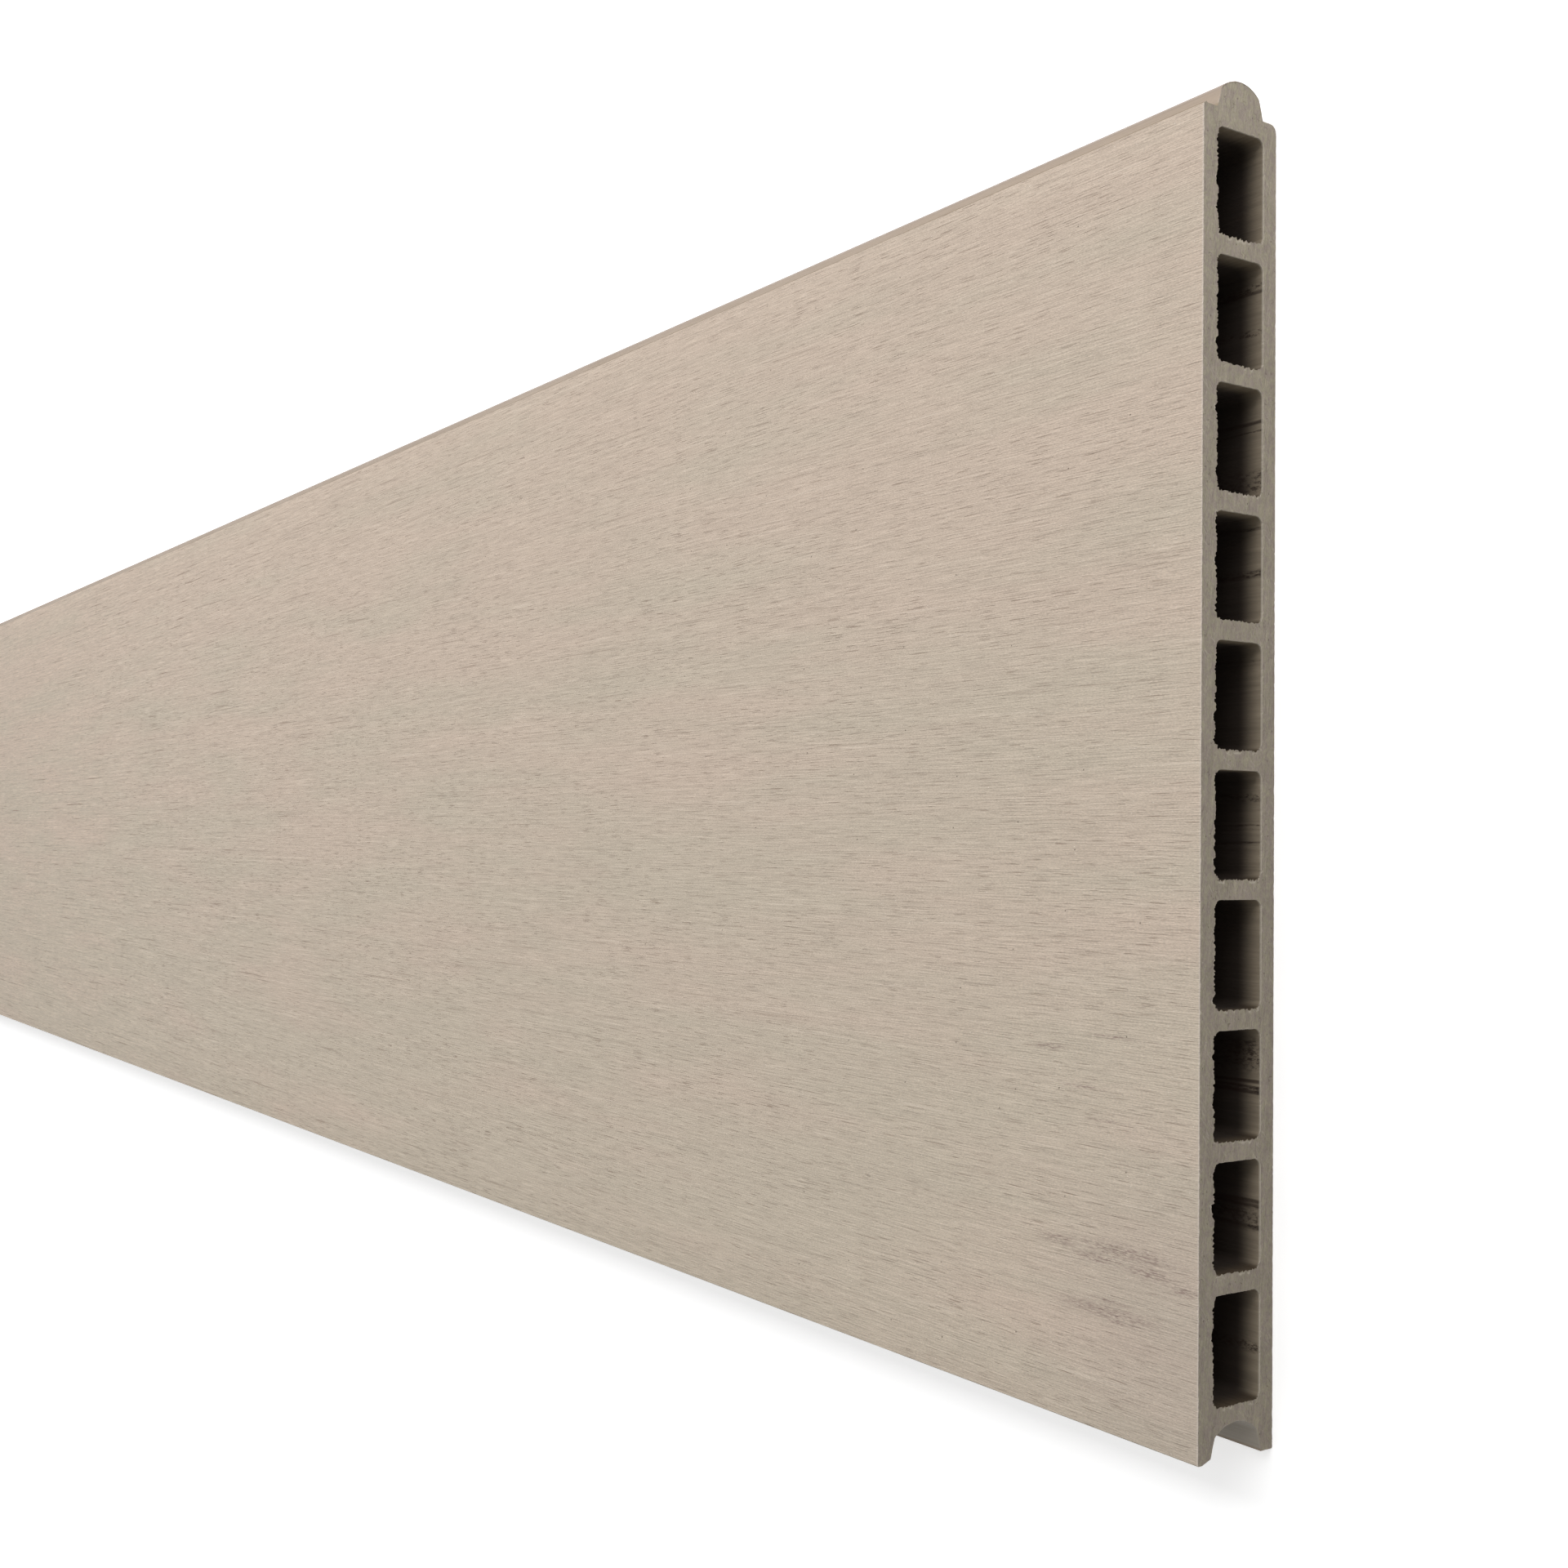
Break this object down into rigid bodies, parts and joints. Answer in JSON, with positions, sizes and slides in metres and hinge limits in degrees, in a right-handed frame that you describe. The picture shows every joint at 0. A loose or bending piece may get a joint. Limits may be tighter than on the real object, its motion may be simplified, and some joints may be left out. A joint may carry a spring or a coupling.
{
  "type": "composite fence board",
  "caption": "Hollow-chamber wood-plastic fence board, brushed on both faces, with a tongue along one long edge and a matching groove along the other.",
  "frame": {"origin": "in the plane of the back face, under the middle of the board's length and of its whole width, tongue included", "axes": "+X along the board, +Y across it towards the tongue, +Z through the thickness from the back face up to the show face"},
  "size_m": [1.8, 0.3072, 0.024],
  "materials": {
    "composite": "matte brushed wood-plastic composite, light greige, darker and saw-marked on the cut ends"
  },
  "bodies": {
    "root": {"fence_board": "composite"}
  },
  "joints": []
}
